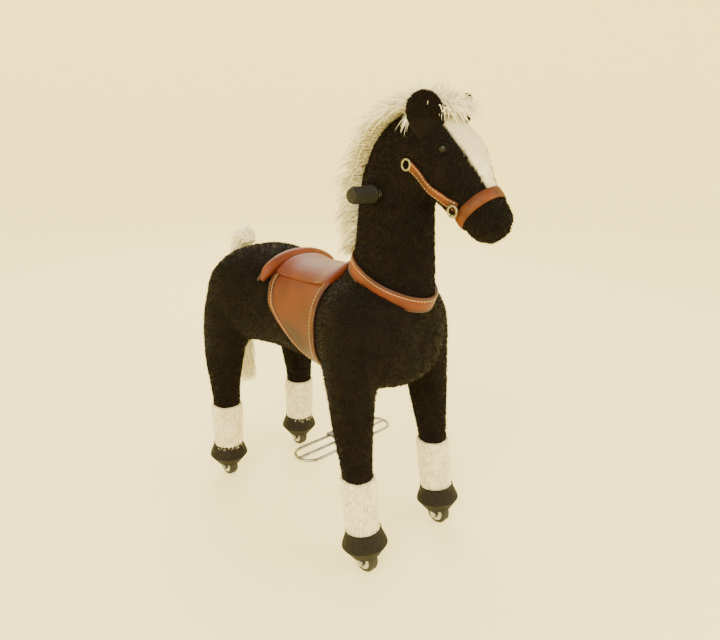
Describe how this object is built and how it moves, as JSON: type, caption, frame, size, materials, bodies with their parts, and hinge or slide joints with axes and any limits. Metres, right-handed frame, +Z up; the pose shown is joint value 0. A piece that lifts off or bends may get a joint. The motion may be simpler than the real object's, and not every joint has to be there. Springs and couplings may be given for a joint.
{
  "type": "ride-on plush pony",
  "caption": "Wheeled plush ride-on pony with saddle, hand grips and footrest; bouncing in the saddle swings the legs and rolls it forward, and the neck steers.",
  "frame": {"origin": "on the floor, below the footrest post, midway along the pony", "axes": "+Z up, -Y the way the pony faces, +X its left side"},
  "size_m": [0.326, 0.805, 0.9234],
  "materials": {
    "frame_steel": "black powder coat",
    "zinc_steel": "zinc plated",
    "footrest_wire": "dull plated wire",
    "halter_metal": "nickel plated",
    "nylon": "moulded nylon",
    "hub_plastic": "grey moulded plastic",
    "tread": "black rubber",
    "hoof_rubber": "moulded black rubber",
    "grip_rubber": "soft black grip",
    "plywood": "sanded plywood",
    "foam": "moulded foam and wadding",
    "black_plush": "short black pile",
    "cream_plush": "long cream pile",
    "tan_leather": "tan leatherette",
    "eye_gloss": "polished dark plastic"
  },
  "bodies": {
    "chassis": {"main_frame": "frame_steel", "pivot_bushes": "nylon", "shaft_bushes": "nylon", "seat_board": "plywood", "seat_bolts": "zinc_steel", "return_spring": "zinc_steel", "body_foam": "foam", "body_cover": "black_plush", "saddle_seat": "tan_leather", "saddle_roll": "tan_leather", "saddle_flaps": "tan_leather", "tail": "cream_plush"},
    "neck": {"steering_column": "frame_steel", "handlebar": "zinc_steel", "handlebar_grips": "grip_rubber", "clamp_bolts": "zinc_steel", "neck_head_foam": "foam", "neck_head_cover": "black_plush", "neck_collar": "tan_leather", "ears": "black_plush", "eyes": "eye_gloss", "mane": "cream_plush", "forelock": "cream_plush", "halter_noseband": "tan_leather", "halter_cheek_straps": "tan_leather", "halter_rings": "halter_metal"},
    "steering_rod": {"track_rod": "zinc_steel"},
    "left_arm": {"steering_arm_left": "frame_steel"},
    "right_arm": {"steering_arm_right": "frame_steel"},
    "front_legs": {"front_leg_frame": "frame_steel", "front_leg_bushes": "nylon", "front_leg_pads": "foam", "front_leg_covers": "black_plush", "front_socks": "cream_plush"},
    "left_front_hoof": {"front_fork_left": "zinc_steel", "front_hoof_left": "hoof_rubber", "front_axle_bolt_left": "zinc_steel"},
    "right_front_hoof": {"front_fork_right": "zinc_steel", "front_hoof_right": "hoof_rubber", "front_axle_bolt_right": "zinc_steel"},
    "left_front_wheel": {"front_hub_left": "hub_plastic", "front_tyre_left": "tread"},
    "right_front_wheel": {"front_hub_right": "hub_plastic", "front_tyre_right": "tread"},
    "rear_legs": {"rear_leg_frame": "frame_steel", "rear_leg_pads": "foam", "rear_leg_covers": "black_plush", "rear_socks": "cream_plush", "rear_hooves": "hoof_rubber", "rear_axle_bolts": "zinc_steel"},
    "left_rear_wheel": {"rear_hub_left": "hub_plastic", "rear_tyre_left": "tread", "rear_clutch_left": "zinc_steel"},
    "right_rear_wheel": {"rear_hub_right": "hub_plastic", "rear_tyre_right": "tread", "rear_clutch_right": "zinc_steel"},
    "footrest": {"footrest_post": "zinc_steel", "footrest_loop": "footrest_wire"},
    "front_link": {"toggle_link_front": "zinc_steel"},
    "rear_link": {"toggle_link_rear": "zinc_steel"}
  },
  "joints": [
    {"name": "rear_leg_swing", "type": "hinge", "parent": "chassis", "child": "rear_legs", "pos_m": [0, 0.308, 0.415], "axis": [1, 0, 0], "range_deg": [0, 12], "stiffness_Nm_per_rad": 80, "springref_deg": -11.46, "deforming": ["return_spring"]},
    {"name": "front_leg_swing", "type": "hinge", "parent": "chassis", "child": "front_legs", "pos_m": [0, -0.135, 0.415], "axis": [1, 0, 0], "range_deg": [-12, 0]},
    {"name": "footrest_slide", "type": "slide", "parent": "chassis", "child": "footrest", "axis": [0, 0, 1], "range_m": [0, 0.02621]},
    {"name": "front_link_knee", "type": "hinge", "parent": "footrest", "child": "front_link", "pos_m": [0, 0, 0.505], "axis": [1, 0, 0], "range_deg": [0, 12.03]},
    {"name": "rear_link_knee", "type": "hinge", "parent": "footrest", "child": "rear_link", "pos_m": [0, 0, 0.505], "axis": [1, 0, 0], "range_deg": [-5.05, 0]},
    {"name": "neck_turn", "type": "hinge", "parent": "chassis", "child": "neck", "pos_m": [0, -0.152, 0.5], "axis": [0, 0, 1], "range_deg": [-15, 15], "stiffness_Nm_per_rad": 4},
    {"name": "track_rod_pin", "type": "hinge", "parent": "neck", "child": "steering_rod", "pos_m": [0, -0.117, 0.493], "axis": [0, 0, 1], "range_deg": [-15, 15]},
    {"name": "left_arm_turn", "type": "hinge", "parent": "chassis", "child": "left_arm", "pos_m": [0.116, -0.135, 0.493], "axis": [0, 0, 1], "range_deg": [-15, 15]},
    {"name": "left_front_hoof_turn", "type": "hinge", "parent": "front_legs", "child": "left_front_hoof", "pos_m": [0.116, -0.135, 0.415], "axis": [0, 0.1446, 0.9895], "range_deg": [-15, 15]},
    {"name": "left_front_wheel_spin", "type": "hinge", "parent": "left_front_hoof", "child": "left_front_wheel", "pos_m": [0.116, -0.192, 0.025], "axis": [1, 0, 0], "continuous": true},
    {"name": "left_rear_wheel_spin", "type": "hinge", "parent": "rear_legs", "child": "left_rear_wheel", "pos_m": [0.116, 0.32, 0.025], "axis": [1, 0, 0], "continuous": true},
    {"name": "right_arm_turn", "type": "hinge", "parent": "chassis", "child": "right_arm", "pos_m": [-0.116, -0.135, 0.493], "axis": [0, 0, 1], "range_deg": [-15, 15]},
    {"name": "right_front_hoof_turn", "type": "hinge", "parent": "front_legs", "child": "right_front_hoof", "pos_m": [-0.116, -0.135, 0.415], "axis": [0, 0.1446, 0.9895], "range_deg": [-15, 15]},
    {"name": "right_front_wheel_spin", "type": "hinge", "parent": "right_front_hoof", "child": "right_front_wheel", "pos_m": [-0.116, -0.192, 0.025], "axis": [1, 0, 0], "continuous": true},
    {"name": "right_rear_wheel_spin", "type": "hinge", "parent": "rear_legs", "child": "right_rear_wheel", "pos_m": [-0.116, 0.32, 0.025], "axis": [1, 0, 0], "continuous": true}
  ],
  "couplings": [
    {"joint": "front_leg_swing", "follows": "rear_leg_swing", "ratio": -1},
    {"joint": "footrest_slide", "follows": "rear_leg_swing", "m_per_rad": 0.12516},
    {"joint": "front_link_knee", "follows": "rear_leg_swing", "ratio": 1.0028},
    {"joint": "rear_link_knee", "follows": "rear_leg_swing", "ratio": -0.4212},
    {"joint": "track_rod_pin", "follows": "neck_turn", "ratio": -1},
    {"joint": "left_arm_turn", "follows": "neck_turn", "ratio": 1},
    {"joint": "left_front_hoof_turn", "follows": "neck_turn", "ratio": 1},
    {"joint": "right_arm_turn", "follows": "neck_turn", "ratio": 1},
    {"joint": "right_front_hoof_turn", "follows": "neck_turn", "ratio": 1}
  ]
}
